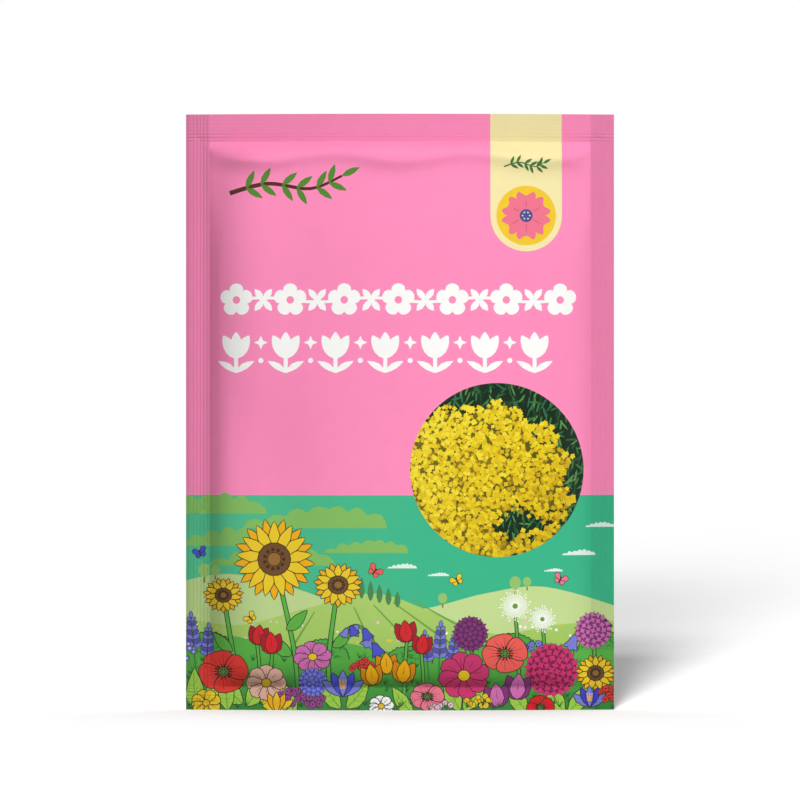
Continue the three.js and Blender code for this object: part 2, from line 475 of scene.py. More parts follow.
def bells(sheet, x, z, height, ink, shade, lean):
    """A stalk that arches over, with bells hanging from it on both sides."""
    points = [(0, 0), (0.05, 0.45), (0.16, 0.8), (0.42, 1.0), (0.62, 0.93)]
    stalk = curve([(x + lean * px * height, z + pz * height) for px, pz in points], 4, closed=False)
    sheet.stroke(stalk, 0.75)
    sheet.stroke(stalk, 0.4, GRASS)
    outline = [(-0.16, 0), (0.16, 0), (0.3, -0.5), (0.52, -0.95), (0.26, -0.86), (0, -1.05)]
    outline += [(-0.26, -0.86), (-0.52, -0.95), (-0.3, -0.5)]
    for i, step in enumerate((6, 8, 10, 12, 14, 16)):
        bell_x, bell_z = stalk[min(step, len(stalk) - 1)]
        size = height * (0.26 - 0.018 * i)
        side = lean * (1 if i % 2 else -1)
        sheet.inked(at(curve(outline, 2), bell_x, bell_z, 24 * side, size), ink if i % 2 else shade)


def spike(sheet, x, z, height, lean):
    """A straight stalk with whorls of small florets up its top half."""
    ink, shade = PERIWINKLE, (98, 84, 180)
    top_x = x + lean
    sheet.stroke([(x, z), (top_x, z + height)], 0.4, DEEP_GRASS)
    rows = 7
    for i in range(rows):
        share = 0.42 + 0.58 * i / rows
        row_x, row_z = x + (top_x - x) * share, z + height * share
        size = height * (0.17 - 0.012 * i)
        for side in (-1, 1):
            floret = blade(size, size * 0.62, 0.6, 0.7, 4)
            sheet.inked(at(floret, row_x, row_z, side * 52), ink if (i + side) % 2 else shade, 0.13)
    tip = at(blade(height * 0.12, height * 0.07, 0.5, 0.8, 4), top_x, z + height * 0.97)
    sheet.inked(tip, ink, 0.13)


def globe(sheet, x, z, size, ink, shade, rng):
    """A round head of small four-petalled stars."""
    sheet.inked(ellipse(x, z, size * 0.46, count=22), shade)
    outline = star(0.36)
    star_size = 0.055 * size + 0.3
    rings = round(0.44 * size / (1.45 * star_size))
    for ring in range(rings, -1, -1):
        radius = size * 0.45 * ring / rings
        for i in range(max(1, round(2 * math.pi * radius / (1.7 * star_size)))):
            angle = 2.4 * ring + i * 1.7 * star_size / max(radius, 0.1)
            place, turn = around(x, z, angle, radius), rng.uniform(0, 90)
            sheet.fill(at(outline, *place, turn, star_size + 0.16), LINE if ring % 2 else shade)
            sheet.fill(at(outline, *place, turn, star_size), ink)


def puff(sheet, x, z, size):
    """A seed head of fine white hairs."""
    sheet.fill(ellipse(x, z, size * 0.36, count=18), (214, 232, 190))
    hairs = 34
    for i in range(hairs):
        reach, turn = size / 2 * (1, 0.74, 0.88)[i % 3], 360 * i / hairs
        sheet.ray(x, z, turn, size * 0.06, reach, 0.13, WHITE)
        sheet.fill(ellipse(*at([(0, reach)], x, z, turn)[0], 0.2, count=5), WHITE)
    sheet.fill(ellipse(x, z, size * 0.09, count=8), LEAF_SHADE)


def cluster(sheet, x, z, width, height, ink, shade, rng):
    """A low cushion of tiny round florets."""
    for _ in range(round(width * height * 0.75)):
        away, angle = math.sqrt(rng.random()), rng.uniform(0, 2 * math.pi)
        place = around(x, z, angle, away * width / 2, away * height / 2)
        radius = rng.uniform(0.55, 0.75)
        sheet.inked(ellipse(*place, radius, count=8), ink, 0.14)
        sheet.fill(ellipse(*place, radius * 0.36, count=5), shade)


def butterfly(sheet, x, z, size, ink, turn):
    for side in (-1, 1):
        for lean, length in ((118, 0.52), (52, 0.8)):
            wing = blade(size * length, size * 0.5, 0.7, 0.6)
            sheet.inked(at(wing, x, z, turn + side * lean), ink, 0.14)
    sheet.ray(x, z, turn, -0.3 * size, 0.34 * size, 0.34)


def tufts(sheet, count, low, high, rng):
    """Little sprays of dark grass blades."""
    for _ in range(count):
        x, z = rng.uniform(-50, 50), rng.uniform(low, high)
        for lean in (-34, -8, 18, 40):
            tall = rng.uniform(0.9, 2.1)
            spray = [(0, 0), (0.04 * tall, 0.5 * tall), (0.16 * tall, tall)]
            sheet.stroke(at(spray, x, z, lean + rng.uniform(-8, 8)), 0.24, (34, 100, 48), 0.06)


def leaf(sheet, x, z, length, turn, bend, ink=LEAF, width=0.46):
    """A broad leaf with its midrib and side veins."""
    outline = at(blade(length, length * width, 0.42, 1, 6, bend * length), x, z, turn)
    sheet.inked(outline, ink)
    midrib = [(bend * length * share**2, share * length) for share in (0.04, 0.35, 0.65, 0.92)]
    sheet.stroke(at(midrib, x, z, turn), 0.24, LEAF_SHADE, 0.1)
    for share in (0.28, 0.45, 0.62):
        root_x, root_z = bend * length * share**2, share * length
        for side in (-1, 1):
            reach = side * length * width * 0.3
            vein = [(root_x, root_z), (root_x + reach, root_z + abs(reach) * 0.9)]
            sheet.stroke(at(vein, x, z, turn), 0.15, LEAF_SHADE, 0.06)


def bush(sheet, x, z, width, height, rng):
    """A low mound of foliage that fades into the ground, with a scalloped edge and curled marks."""
    arc = [around(x, z, math.pi * (1 - i / 8), width / 2, height) for i in range(9)]
    edge = bumpy(arc, 1.1, 0.35, rng)
    sheet.fill(edge, Fade((84, 172, 68), (80, 168, 72), (0, z), (0, z + height * 0.7)))
    sheet.stroke(edge, 0.22)
    mark = [(-0.55, 0), (-0.2, 0.3), (0.2, 0.3), (0.55, 0)]
    for _ in range(round(width * height * 0.5)):
        away, angle = math.sqrt(rng.random()) * 0.88, rng.uniform(0.1, math.pi - 0.1)
        place = around(x, z, angle, away * width / 2, away * height)
        size = rng.uniform(0.6, 1.1)
        sheet.stroke(at(mark, *place, rng.uniform(-40, 40), size), 0.15, (36, 92, 44))


def land(sheet, tops, ink):
    """Ground from below the packet's foot up to a line of rolling hills."""
    line = curve(tops, 6, closed=False)
    sheet.fill([(tops[0][0], -1), (tops[-1][0], -1), *line[::-1]], ink)


def cloud(sheet, x, z, length, ink, rng):
    """A long cloud, flat below."""
    tall = 0.13 * length
    tops = [(x - length / 2, z), (x - length * 0.2, z + tall * 0.62), (x + length * 0.1, z + tall)]
    tops += [(x + length * 0.36, z + tall * 0.7), (x + length / 2, z)]
    sheet.fill(bumpy(tops, length * 0.16, length * 0.05, rng), ink)


def round_tree(sheet, x, z, size):
    sheet.stroke([(x, z - size * 0.85), (x, z)], size * 0.14, (120, 128, 70))
    sheet.fill(ellipse(x, z, size * 0.42, size * 0.48, 12), (150, 196, 108))


# The front's print

SKY_TOP = 50.5  # the pink ends here
WINDOW_X, WINDOW_Z, WINDOW_RADIUS = 22.75, 56.4, 20.4
TAB_X, TAB_HALF_WIDTH, TAB_MIDDLE_Z = 29.6, 8.4, 116.1
DISC_RADIUS = 7.0
TWIG = [(-40, 121.4), (-31, 123.6), (-21, 122.4), (-13.6, 125.4)]
TAB_TWIG = [(24.4, 127.6), (28, 128.6), (31.6, 127.6), (33.6, 128.4)]
LEAF_PAIRS = 6
BLOOMS_IN_ROW = 7
BLOSSOM_ROW = (-42.3, 41.5, 96.3, 7.8)  # left, right, middle height, height
TULIP_ROW = (-42.3, 35.4, 84.0, 9.6)


def draw_tab(sheet):
    """The cream tab that hangs from the top edge, with a six-petalled rosette on a yellow disc."""
    middle, over = (TAB_X, TAB_MIDDLE_Z), HEIGHT + 1
    foot = [around(*middle, math.pi * (1 + i / 24), TAB_HALF_WIDTH) for i in range(25)]
    sheet.fill([(TAB_X - TAB_HALF_WIDTH, over), *foot, (TAB_X + TAB_HALF_WIDTH, over)], CREAM)
    sheet.fill(ellipse(*middle, DISC_RADIUS, count=48), (240, 200, 52))
    heart = mirrored([(0, 0), (0.22, 0.34), (0.4, 0.72), (0.3, 0.98), (0, 0.82)])
    for i in range(6):
        petal = at(curve(heart, 3), *middle, 60 * i, DISC_RADIUS * 0.82)
        sheet.fill(petal, (238, 118, 142))
        crease = at([(0, 0.36), (0, 0.68)], *middle, 60 * i, DISC_RADIUS * 0.82)
        sheet.stroke(crease, 0.22, (214, 84, 116), 0.1)
    sheet.fill(ellipse(*middle, DISC_RADIUS * 0.22, count=20), NAVY)
    for i in range(6):
        dot = around(*middle, math.pi * i / 3, DISC_RADIUS * 0.12)
        sheet.fill(ellipse(*dot, 0.2, count=6), CREAM)
    sprig(sheet, TAB_TWIG, (64, 112, 60), 0.34, (64, 122, 62), 2.1)


def sprig(sheet, points, wood, thickness, leaf_ink, length):
    """A twig with pairs of narrow leaves along it and one at its tip."""
    line = curve(points, 6, closed=False)
    sheet.stroke(line, thickness, wood, thickness * 0.5)
    for i in range(LEAF_PAIRS + 1):
        step = round((len(line) - 1) * (i + 1) / (LEAF_PAIRS + 1))
        (x, z), (before_x, before_z) = line[step], line[step - 1]
        way = math.degrees(math.atan2(z - before_z, x - before_x)) - 90
        for lean in (0,) if i == LEAF_PAIRS else (-48, 48):
            sheet.fill(at(blade(length, length * 0.34, 0.45, 0.9), x, z, way + lean), leaf_ink)


def draw_blossom_row(sheet, left, right, middle, height):
    """Bold white five-petalled blossoms on a vine, with leaves and a berry between each two."""
    pitch = (right - left - height) / (BLOOMS_IN_ROW - 1)
    start = left + height / 2
    vine = []
    for i in range(6 * (BLOOMS_IN_ROW - 1) + 1):
        vine.append((start + pitch * i / 6, middle + 0.5 * math.sin(math.pi * i / 6)))
    sheet.stroke(vine, height * 0.09, WHITE)
    for i in range(BLOOMS_IN_ROW):
        x = start + pitch * i
        for petal in range(5):
            outline = at(blade(height / 2, height * 0.42, 0.66, 0.5, 7), x, middle, 72 * petal)
            sheet.fill(outline, WHITE)
        sheet.fill(ellipse(x, middle, height * 0.115, count=14), PINK)
    for i in range(BLOOMS_IN_ROW - 1):
        x = start + pitch * (i + 0.5)
        sheet.fill(ellipse(x, middle, height * 0.115, count=12), WHITE)
        for turn in (-38.44, -141.6, 38.44, 141.6):
            outline = at(blade(height * 0.42, height * 0.21, 0.5, 0.9), x, middle, turn)
            sheet.fill(outline, WHITE)


def draw_tulip_row(sheet, left, right, middle, height):
    """Bold white tulips side by side, with a star and a dot between each two."""
    pitch = (right - left - height * 0.8) / (BLOOMS_IN_ROW - 1)
    low = middle - height / 2
    for i in range(BLOOMS_IN_ROW):
        x = left + height * 0.4 + pitch * i
        sheet.stroke([(x, low), (x, middle)], height * 0.1, WHITE)
        for side in (-1, 1):
            base_leaf = blade(height * 0.52, height * 0.17, 0.5, 0.9, 6, -side * height * 0.1)
            sheet.fill(at(base_leaf, x, low, side * 46), WHITE)
        for lean in (-30, 30, 0):
            petal = blade(height * 0.64, height * 0.31, 0.45, 0.7, 7)
            sheet.fill(at(petal, x, low + height * 0.36, lean), WHITE)
        if i < BLOOMS_IN_ROW - 1:
            between_x = x + pitch / 2
            sheet.fill(at(star(0.3), between_x, middle + height * 0.24, 0, height * 0.17), WHITE)
            sheet.fill(ellipse(between_x, middle - height * 0.2, height * 0.065, count=10), WHITE)


def draw_window(sheet, rng):
    """A round picture of a mound of small yellow flowers, in clusters, over dark foliage."""
    disc = ellipse(WINDOW_X, WINDOW_Z, WINDOW_RADIUS, count=110)
    window = sheet.fill(disc, (26, 46, 30))

    def spread(pitch, jitter):
        """Places in rows all over the disc, each moved a little at random."""
        rows = math.ceil(WINDOW_RADIUS / (pitch * 0.87))
        for row in range(-rows, rows + 1):
            for column in range(-rows, rows + 1):
                x = (column + 0.5 * (row % 2)) * pitch + rng.uniform(-jitter, jitter)
                z = row * pitch * 0.87 + rng.uniform(-jitter, jitter)
                if math.hypot(x, z) < WINDOW_RADIUS + 0.8:
                    yield x, z

    def depth_in_mound(x, z):
        """How far inside the mound of flowers a place is, below 0 outside it."""
        edge = 21.2 + 1.2 * math.sin(0.5 * x + 1) + 1.0 * math.sin(0.7 * z)
        gap = 2.6 - math.hypot((x - 5) / 1.8, z + 12.5) + 0.5 * math.sin(2 * x)
        return min(edge - math.hypot(x + 4.5, z + 4.5), -gap)

    greens = ((46, 98, 54), (62, 122, 62), (34, 74, 44), (92, 144, 76), (52, 110, 78))
    for x, z in spread(1.5, 0.6):
        if depth_in_mound(x, z) < 1.6:
            blade_leaf = blade(rng.uniform(2.0, 3.4), rng.uniform(0.4, 0.7), 0.5, 1, 3)
            outline = at(blade_leaf, WINDOW_X + x, WINDOW_Z + z - 1, rng.gauss(-18, 34))
            sheet.fill(outline, rng.choice(greens), window)

    browns = ((112, 100, 28), (92, 90, 30), (140, 118, 28))
    for x, z in spread(2.3, 0.3):
        if depth_in_mound(x, z) > 2.2:
            patch = ellipse(WINDOW_X + x, WINDOW_Z + z, 1.6, count=6)
            sheet.fill(patch, rng.choice(browns), window)

    yellows = ((178, 140, 22), (204, 168, 26), (222, 190, 30), (234, 206, 36), (242, 220, 58))

    def floret(x, z, light):
        ink = yellows[min(max(round(light), 0), 4)]
        turn, size = rng.uniform(0, 90), rng.uniform(0.52, 0.74)
        sheet.fill(at(star(0.46), WINDOW_X + x, WINDOW_Z + z, turn, size), ink, window)

    for x, z in spread(1.3, 0.35):
        if depth_in_mound(x, z) > 0.3 and rng.random() < 0.9:
            floret(x, z, 1.2 + (z - x) / 26 + rng.uniform(-0.9, 0.9))
    for x, z in spread(3.0, 0.6):
        if depth_in_mound(x, z) < 0:
            continue
        for _ in range(rng.randint(10, 13)):
            away, angle = 1.6 * math.sqrt(rng.random()), rng.uniform(0, 2 * math.pi)
            over = away * math.sin(angle)
            light = 2.7 + (z - x) / 26 + over * 0.5 + rng.uniform(-0.9, 0.9)
            floret(x + away * math.cos(angle), z + over, light)


def draw_far_country(sheet, rng):
    """Sky, long clouds, and pale hills with a few trees."""
    sky = Fade((82, 190, 142), TEAL, (-42, 0), (8, 0))
    edge = HALF_WIDTH + 1
    sheet.fill([(-edge, -1), (edge, -1), (edge, SKY_TOP), (-edge, SKY_TOP)], sky)
    for place in ((-46, 46.2, 30), (-20, 42.8, 34), (-41, 38.6, 26), (-8, 37, 20), (-30, 34, 30)):
        cloud(sheet, *place, HAZE, rng)
    for place in ((0.5, 33.4, 7), (9, 31.6, 5), (42, 36.4, 8), (47, 43, 7), (36, 32.6, 4.5)):
        cloud(sheet, *place, (226, 244, 232), rng)
    far = [(-52, 30), (-40, 32), (-24, 28.5), (-8, 23), (6, 24), (20, 27.5), (34, 29), (52, 24)]
    land(sheet, far, Fade(PALER_HILL, PALE_HILL, (-40, 0), (0, 0)))
    for place in (
        (-46, 32.8, 3.4), (-43.4, 32.8, 2.6), (27, 30, 3.2), (29.8, 30.2, 2.4), (10, 26.4, 2.6)
    ):
        round_tree(sheet, *place)
    near = [(-52, 22), (-38, 20), (-22, 24), (-6, 27.5), (8, 23), (22, 18), (36, 20), (52, 21)]
    land(sheet, near, Fade(FIELD, (174, 208, 108), (0, 12), (0, 27)))
    for row in range(6):
        start, end = -20 + 4.6 * row, -27 + 11 * row
        sheet.stroke([(start, 23.2 + 0.55 * row), (end, 12)], 0.28, HEDGE, 0.75)
    for i in range(5):
        trunk_x = -9 + 2.1 * i
        top = blade(5.2 - 0.35 * i, 1.5, 0.42, 0.9)
        sheet.fill(at(top, trunk_x, 26.2 - 0.5 * i), (74, 136, 82))
    for _ in range(46):
        place = rng.uniform(-49, 49), rng.uniform(15.5, 21)
        ink = rng.choice((WHITE, (240, 190, 200), YELLOW))
        sheet.fill(ellipse(*place, rng.uniform(0.25, 0.42), count=6), ink)
    lawn = [(-52, 16), (-40, 17.5), (-28, 15), (-14, 16), (0, 13.5)]
    lawn += [(14, 14.5), (28, 17), (40, 15), (52, 18)]
    land(sheet, lawn, Fade(DEEP_GRASS, GRASS, (0, 0), (0, 13)))
    tufts(sheet, 90, 0.5, 13, rng)
    for place in (
        (-6, 32.6, 2.6, CORAL, -38), (13.4, 30.4, 2.3, YELLOW, 28), (37.6, 30.6, 2.4, ROSE, -24),
        (-47, 36.8, 2.4, BLUE, 20), (-35, 21.6, 2.2, YELLOW, 42),
    ):
        butterfly(sheet, *place)


def draw_near_garden(sheet, rng):
    """The row of outlined flowers along the foot, tall ones first, then ever nearer ones."""
    for place in (
        (-45, 13, 12, 5.2), (-18, 12, 12, 4.6), (2, 11, 11, 4), (26, 13, 13, 5), (47, 14, 10, 5)
    ):
        bush(sheet, *place, rng)
    for x, head, foot in ((-29.5, 35.5, -24), (-14.5, 29.5, -16), (-41.5, 27, -38)):
        sheet.stalk([(foot, 2), (foot - 0.8, head * 0.4), (x, head)], 0.8)
    for place in (
        (-25.4, 13, 7.5, 62, 0.2), (-26.6, 19, 6.5, -58, -0.2),
        (-15.8, 15, 6, -60, -0.2), (-39.4, 14, 6, 58, 0.2),
    ):
        leaf(sheet, *place, GRASS, 0.42)
    sunflower(sheet, -29.5, 35.5, 19)
    sunflower(sheet, -14.5, 29.5, 11.5, 0.9, 11)
    sunflower(sheet, -41.5, 27, 9.5, 0.85, 11)
    for place in (
        (-48, 9, 13, -1.2), (-45.6, 8, 11.5, 0.6),
        (9, 7, 13, 0.6), (11.6, 7, 11, 1.5), (6.8, 7, 11, -1),
    ):
        spike(sheet, *place)
    for x, z, size in ((27, 24.5, 7.4), (33.4, 21.4, 6.2)):
        sheet.stalk([(x + 1, 6), (x + 0.6, z * 0.6), (x, z)], 0.55)
        puff(sheet, x, z, size)
    bells(sheet, 40, 9, 13, BLUE, PERIWINKLE, 1)
    bells(sheet, -5, 8, 12, PERIWINKLE, BLUE, -1)
    for x, z, size, lean in (
        (-33.5, 15.5, 4.6, 8), (-30, 13.4, 5, -4), (1.6, 16.2, 5, -6), (5, 13.4, 4.6, 6)
    ):
        sheet.stalk([(x + lean * 0.1, 4), (x + lean * 0.06, z * 0.7), (x, z)], 0.55)
        tulip(sheet, x, z, size, RED, DEEP_RED, -lean)
    for x, z, size, ink, shade in (
        (16.5, 18, 8, PLUM, (96, 40, 92)), (45.4, 18.6, 8.4, ORCHID, PLUM)
    ):
        sheet.stalk([(x, 4), (x + 0.4, z * 0.6), (x, z)], 0.6)
        globe(sheet, x, z, size, ink, shade, rng)
    cosmos(sheet, -20.5, 12.6, 9, ORCHID, 0.8, 10)
    cluster(sheet, -8.5, 10.6, 6, 3.4, SCARLET, WINE, rng)
    cluster(sheet, 31.4, 15.2, 5.4, 3, PERIWINKLE, BLUE, rng)
    cluster(sheet, -50, 14, 4, 4, PERIWINKLE, WHITE, rng)
    poppy(sheet, 24.6, 13.4, 10.5, CORAL)
    for place in (
        (-37, 1.5, 9.5, 52, 0.25), (-36, 1, 9, -40, -0.25), (-12.5, 0.6, 8.5, -50, -0.25),
        (-14, 0.5, 8, 44, 0.2), (-47, -0.5, 10, 24, 0.3), (-46, -0.5, 9, -34, -0.25),
        (-40.5, 0, 8, 8, 0.1), (30, -0.5, 8.5, 46, 0.25), (-24.5, -0.8, 8, 34, 0.2),
        (3, -0.6, 7.5, 52, 0.25), (14, 0, 9, 30, 0.2), (15, 0, 9.5, -38, -0.2),
        (38.6, -0.5, 9, 40, 0.2), (39.6, -0.5, 8, -48, -0.2),
    ):
        leaf(sheet, *place)
    for x, z, size, lean in ((-3, 8.6, 5, 4), (0.6, 6.6, 5.4, -6), (-6.2, 6, 5, 10)):
        tulip(sheet, x, z, size, GOLD, (216, 138, 18), lean)
    poppy(sheet, -41.5, 9, 11.5, (228, 62, 54))
    cosmos(sheet, -31.4, 6.4, 9.5, BLUSH, 0.9, 0)
    cluster(sheet, -23.4, 2.6, 11, 5, (160, 76, 150), (98, 38, 90), rng)
    globe(sheet, -20.4, 6.6, 6.6, PERIWINKLE, BLUE, rng)
    crocus(sheet, -13.4, 3.2, 6.2, BLUE, PERIWINKLE)
    cosmos(sheet, 15, 8.2, 12, MAGENTA, 0.94, 12)
    poppy(sheet, 6.4, 3.2, 7.8, ROSE, 0.8)
    globe(sheet, 35.6, 9.4, 12.5, MAGENTA, (142, 32, 82), rng)
    sunflower(sheet, 46, 8.6, 9.5, 0.9, 11)
    tulip(sheet, 27.4, 2.6, 6, ORCHID, PLUM, -5)
    tulip(sheet, 23, 0.8, 5.6, ORCHID, PLUM, 6)
    crocus(sheet, 44.6, 0.6, 5, (66, 70, 196), PERIWINKLE)
    cosmos(sheet, -45.6, 1.6, 7, YELLOW, 0.9, 20)
    cosmos(sheet, -4.4, 1, 6, WHITE, 0.85, 8)
    poppy(sheet, 33, 0.6, 6.4, RED)
    crocus(sheet, -29, -0.6, 4.8, GOLD, YELLOW)
    cluster(sheet, 18.6, 2.2, 6, 3.4, YELLOW, GOLD, rng)
    cluster(sheet, 49, 3.6, 4, 5, SCARLET, WINE, rng)
    cluster(sheet, 10.4, 0.6, 6, 2.6, (232, 200, 214), ROSE, rng)
    tufts(sheet, 26, -0.6, 1.6, rng)


def front_print():
    rng = random.Random(7)
    sheet = Print(PINK)
    draw_far_country(sheet, rng)
    draw_near_garden(sheet, rng)
    draw_window(sheet, rng)
    draw_tab(sheet)
    draw_blossom_row(sheet, *BLOSSOM_ROW)
    draw_tulip_row(sheet, *TULIP_ROW)
    sprig(sheet, TWIG, (88, 48, 34), 1.1, (86, 138, 52), 4.6)
    return sheet


def back_print():
    """Guessed: a cream panel with rules, a strip of twelve boxes and three small pictures."""
    sheet = Print(PINK)
    edge = HALF_WIDTH + 1
    sheet.fill([(-edge, -1), (edge, -1), (edge, 24), (-edge, 24)], TEAL)
    land(sheet, [(-52, 13), (-30, 16), (-8, 12), (16, 15.5), (38, 12.5), (52, 15)], PALE_HILL)
    land(sheet, [(-52, 9), (-34, 8), (-10, 10.5), (14, 8), (36, 10), (52, 8.5)], GRASS)
    left, right, low, high = -37.0, 37.0, 32.0, 124.0
    sheet.fill(box_outline(left, right, low, high, 3), CREAM)
    for inset, ink in ((1.6, FRAME_PINK), (2.1, CREAM)):
        sheet.fill(box_outline(left + inset, right - inset, low + inset, high - inset, 2.2), ink)
    for corner_x in (left + 8, right - 8):
        rosette(sheet, corner_x, high - 7.6, 6, (ROSE,), 6, 2.6, 1, 0, 0.5, 0.66)
        eye(sheet, corner_x, high - 7.6, 1, GOLD)
    for row in range(9):
        end = right - 6 if row % 4 != 3 else right - 26
        rule = high - 24 - 3.4 * row
        sheet.fill(box_outline(left + 6, end, rule, rule + 0.5, 0), (214, 160, 150))
    sheet.fill(box_outline(left + 6, right - 18, high - 15, high - 12, 1.4), FRAME_PINK)
    for box in range(12):
        start = left + 6 + 5.2 * box
        ink = TEAL if 1 < box < 5 else (GOLD if 6 < box < 10 else WHITE)
        sheet.fill(box_outline(start, start + 4.4, 56, 60.4, 0.6), LEAF_SHADE)
        sheet.fill(box_outline(start + 0.3, start + 4.1, 56.3, 60.1, 0.5), ink)
    for picture_x in (-22, 0, 22):
        sheet.fill(ellipse(picture_x, 44, 7, count=36), WHITE)
    drop = mirrored([(0, 5), (1.7, 1.6), (2.7, -0.9), (1.7, -3.2), (0, -3.9)])
    sheet.fill(at(curve(drop, 3), -22, 44), PERIWINKLE)
    rosette(sheet, 0, 44, 11, (YELLOW,), 10, 2.2)
    eye(sheet, 0, 44, 2.4, GOLD)
    trowel = mirrored([(0, -5), (1.9, -2.2), (1.9, 0.4), (0.4, 0.9)])
    sheet.inked(at(trowel, 22, 44, -28), (168, 172, 176))
    sheet.inked(at(box_outline(-0.75, 0.75, 2, 5.4, 0.7), 22, 44, -28), (196, 98, 60))
    sheet.stroke(at([(0, 0.9), (0, 2)], 22, 44, -28), 0.5)

    rng = random.Random(11)
    tufts(sheet, 60, 0, 8, rng)
    inks = (CORAL, ORCHID, YELLOW, ROSE, MAGENTA, PERIWINKLE)
    for i in range(15):
        x, z = -46.5 + 6.6 * i + rng.uniform(-1, 1), 4.6 + 2.4 * (i % 2) + rng.uniform(-0.8, 0.8)
        size, ink = rng.uniform(5, 7.4), inks[i % len(inks)]
        sheet.stalk([(x + 0.4, -1), (x, z)], 0.5)
        leaf(sheet, x, -0.6, 5, 38 if i % 2 else -38, 0.1, LEAF, 0.44)
        if i % 5 == 2:
            globe(sheet, x, z, size, ink, PLUM, rng)
        elif i % 5 == 4:
            tulip(sheet, x, z, size * 0.8, RED, DEEP_RED, rng.uniform(-8, 8))
        else:
            cosmos(sheet, x, z, size, ink, 0.88, rng.uniform(0, 40))
    return sheet


def box_outline(left, right, low, high, corner):
    """A rectangle with rounded corners."""
    if corner == 0:
        return [(left, low), (right, low), (right, high), (left, high)]
    made = []
    centres = ((right - corner, high - corner), (left + corner, high - corner))
    centres += ((left + corner, low + corner), (right - corner, low + corner))
    for quarter, (x, z) in enumerate(centres):
        for step in range(5):
            made.append(around(x, z, math.pi / 2 * (quarter + step / 4), corner))
    return made


# From a print to a mesh

PANEL_STEP = 1.3
RIB_STEP = 0.2
INSIDE_STEP = 2.4
LINE_STEP_IN_SEAL = 0.3
STEPS_FROM_CREASE = (0, 0.3, 0.7, 1.3, 2, 2.7, 3.4, 4.1, 4.8, 5.5, 6.3, 7.2, 8.2, 9.3, 10.4)
CUT_TOLERANCE = 1e-4
THINNING = 0.008


def lines_over(seal_from, seal_to, end, panel_step, rib_step):
    """Places of grid lines from 0 to end: close in the two seals and at the creases beyond them."""
    lines = list(np.arange(0, seal_from, rib_step))
    creases = [seal_from + step for step in STEPS_FROM_CREASE]
    other = [end - seal_to - step for step in STEPS_FROM_CREASE[::-1]]
    middle = np.linspace(creases[-1], other[0], round((other[0] - creases[-1]) / panel_step) + 1)
    lines += creases[:-1] + list(middle) + other[1:]
    return lines + list(end - np.arange(0, seal_to, rib_step)[::-1])


def grid(panel_step, rib_step):
    across = [x - HALF_WIDTH for x in lines_over(SIDE_SEAL, SIDE_SEAL, WIDTH, panel_step, rib_step)]
    up = lines_over(BOTTOM_SEAL, TOP_SEAL, HEIGHT, panel_step, rib_step)
    edge = [(x, 0) for x in across] + [(HALF_WIDTH, z) for z in up[1:]]
    edge += [(x, HEIGHT) for x in across[-2::-1]] + [(-HALF_WIDTH, z) for z in up[-2:0:-1]]
    return edge, [(x, z) for x in across[1:-1] for z in up[1:-1]]


def divided(line):
    """A line with points added, so that it follows the ribs and the bulge of the film."""
    made = []
    for (x, z), (next_x, next_z) in zip(line, line[1:]):
        middle_x, middle_z = abs(x + next_x) / 2, (z + next_z) / 2
        in_side = middle_x > POUCH_HALF_WIDTH
        in_end = middle_z < BOTTOM_SEAL or middle_z > POUCH_TOP
        run_step = LINE_STEP_IN_SEAL if in_side else PANEL_STEP
        climb_step = LINE_STEP_IN_SEAL if in_end else PANEL_STEP
        across, up = math.ceil(abs(next_x - x) / run_step), math.ceil(abs(next_z - z) / climb_step)
        parts = max(1, across, up)
        for part in range(parts):
            made.append((x + (next_x - x) * part / parts, z + (next_z - z) * part / parts))
    return made + [line[-1]]


def thinned(line):
    """A line without the points that lie all but straight between others."""
    kept, passed = [line[0]], []
    for place, following in zip(line[1:], line[2:]):
        passed.append(place)
        (x, z), (end_x, end_z) = kept[-1], following
        run, climb = end_x - x, end_z - z
        length = math.hypot(run, climb)
        off = max(abs((a - x) * climb - (b - z) * run) for a, b in passed)
        if length == 0 or off > length * THINNING:
            kept.append(place)
            passed = []
    return kept + [line[-1]]


def sides_of(triangles):
    return np.concatenate([triangles[:, [0, 1]], triangles[:, [1, 2]], triangles[:, [2, 0]]])


def visible_lines(flat, triangles, inks):
    """The lines of a cut print along which the ink changes."""
    sides = sides_of(triangles)
    sides.sort(axis=1)
    order = np.lexsort((sides[:, 1], sides[:, 0]))
    sides, inks = sides[order], np.tile(inks, 3)[order]
    changes = (sides[1:] == sides[:-1]).all(axis=1) & (inks[1:] != inks[:-1])
    near = {}
    for a, b in sides[1:][changes].tolist():
        near.setdefault(a, []).append(b)
        near.setdefault(b, []).append(a)
    joints = [corner for corner in near if len(near[corner]) != 2]
    lines, walked = [], set()
    for start in joints + list(near):
        for following in near[start]:
            if (start, following) in walked:
                continue
            chain = [start, following]
            while len(near[chain[-1]]) == 2 and chain[-1] != start:
                chain.append(sum(near[chain[-1]]) - chain[-2])
            walked.update(zip(chain, chain[1:]))
            walked.update(zip(chain[1:], chain))
            lines.append(divided(thinned([tuple(place) for place in flat[chain].tolist()])))
    return lines


